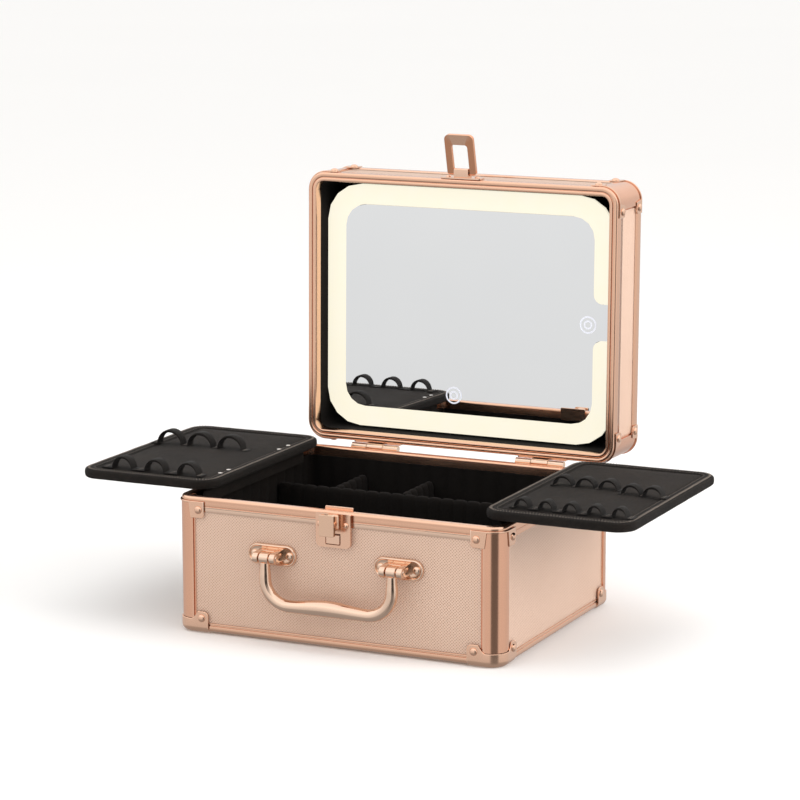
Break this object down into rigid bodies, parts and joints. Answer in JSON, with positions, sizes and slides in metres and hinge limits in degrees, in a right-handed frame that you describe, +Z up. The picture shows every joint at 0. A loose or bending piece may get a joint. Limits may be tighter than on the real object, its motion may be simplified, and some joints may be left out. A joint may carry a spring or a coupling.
{
  "type": "makeup train case",
  "caption": "Hard-sided makeup case with a metal frame, a hinged mirror lid with a light band, a carrying handle, a hasp latch and fold-out brush boards.",
  "frame": {"origin": "centre of the flat underside of the base, on the surface it stands on", "axes": "+X to the case's right seen from the front, -Y is the front with latch and handle, +Z up"},
  "size_m": [0.511, 0.3332, 0.4071],
  "materials": {
    "satin_rose_metal": "satin rose-gold anodised aluminium, fine brushed grain",
    "polished_rose_metal": "polished rose-gold plated steel",
    "textured_panel": "pale rose sheet with a fine woven emboss, satin",
    "bottom_board": "dark matt board",
    "dark_lining": "black-brown padded lining, matt",
    "charcoal_fabric": "charcoal woven fabric over a padded board",
    "elastic": "black ribbed elastic webbing",
    "mirror": "silvered glass",
    "light_band": "frosted band, lit warm white from behind",
    "black_plastic": "black moulded plastic"
  },
  "bodies": {
    "base": {"base_bottom_panel": "bottom_board", "base_front_panel": "textured_panel", "base_back_panel": "textured_panel", "base_left_panel": "textured_panel", "base_right_panel": "textured_panel", "base_rim_frame": "satin_rose_metal", "base_bottom_frame": "satin_rose_metal", "corner_post_front_left": "satin_rose_metal", "corner_post_front_right": "satin_rose_metal", "corner_post_back_right": "satin_rose_metal", "corner_post_back_left": "satin_rose_metal", "corner_guard_front_left": "polished_rose_metal", "corner_guard_front_right": "polished_rose_metal", "corner_guard_back_right": "polished_rose_metal", "corner_guard_back_left": "polished_rose_metal", "corner_bracket_front_left": "polished_rose_metal", "corner_bracket_front_right": "polished_rose_metal", "corner_bracket_back_right": "polished_rose_metal", "corner_bracket_back_left": "polished_rose_metal", "base_liner": "dark_lining", "divider_cross": "dark_lining", "divider_left": "dark_lining", "divider_right": "dark_lining", "latch_plate": "polished_rose_metal", "latch_block": "polished_rose_metal", "latch_keeper_plate": "polished_rose_metal", "handle_bracket_left": "polished_rose_metal", "handle_bracket_right": "polished_rose_metal", "handle_pin_left": "polished_rose_metal", "handle_pin_right": "polished_rose_metal", "board_hinge_strip_left": "charcoal_fabric", "board_hinge_strip_right": "charcoal_fabric", "hinge_base_leaf_left": "satin_rose_metal", "hinge_base_leaf_right": "satin_rose_metal"},
    "lid": {"lid_top_panel": "textured_panel", "lid_side_band": "textured_panel", "lid_rim_frame": "satin_rose_metal", "lid_top_frame": "satin_rose_metal", "lid_corner_front_left": "satin_rose_metal", "lid_corner_front_right": "satin_rose_metal", "lid_corner_back_right": "satin_rose_metal", "lid_corner_back_left": "satin_rose_metal", "lid_liner": "dark_lining", "led_backing_board": "black_plastic", "mirror_glass": "mirror", "led_diffuser": "light_band", "control_and_battery_pack": "black_plastic", "hinge_lid_leaf_left": "satin_rose_metal", "hinge_lid_leaf_right": "satin_rose_metal", "hasp_plate": "polished_rose_metal"},
    "hasp": {"hasp_ring": "polished_rose_metal"},
    "handle": {"carry_handle": "polished_rose_metal"},
    "latch_button": {"latch_release_tab": "polished_rose_metal"},
    "left_board": {"brush_board_left": "charcoal_fabric", "elastic_left_near": "elastic", "elastic_left_far": "elastic"},
    "right_board": {"brush_board_right": "charcoal_fabric", "elastic_right_near": "elastic", "elastic_right_far": "elastic", "elastic_right_outer": "elastic"}
  },
  "joints": [
    {"name": "lid_hinge", "type": "hinge", "parent": "base", "child": "lid", "pos_m": [0, 0.126, 0.1186], "axis": [-1, 0, 0], "range_deg": [-60, 0]},
    {"name": "hasp_hinge", "type": "hinge", "parent": "lid", "child": "hasp", "pos_m": [0, 0.13703, 0.37225], "axis": [1, 0, 0], "range_deg": [-90, 75]},
    {"name": "handle_hinge", "type": "hinge", "parent": "base", "child": "handle", "pos_m": [0, -0.1355, 0.0755], "axis": [-1, 0, 0], "range_deg": [0, 100]},
    {"name": "latch_button_slide", "type": "slide", "parent": "base", "child": "latch_button", "axis": [0, 1, 0], "range_m": [0, 0.0018], "stiffness_N_per_m": 250, "springref_m": -0.001},
    {"name": "left_board_hinge", "type": "hinge", "parent": "base", "child": "left_board", "pos_m": [-0.1305, 0, 0.1201], "axis": [0, -1, 0], "range_deg": [-180, 0]},
    {"name": "right_board_hinge", "type": "hinge", "parent": "base", "child": "right_board", "pos_m": [0.1305, 0, 0.1201], "axis": [0, 1, 0], "range_deg": [-180, 0]}
  ]
}
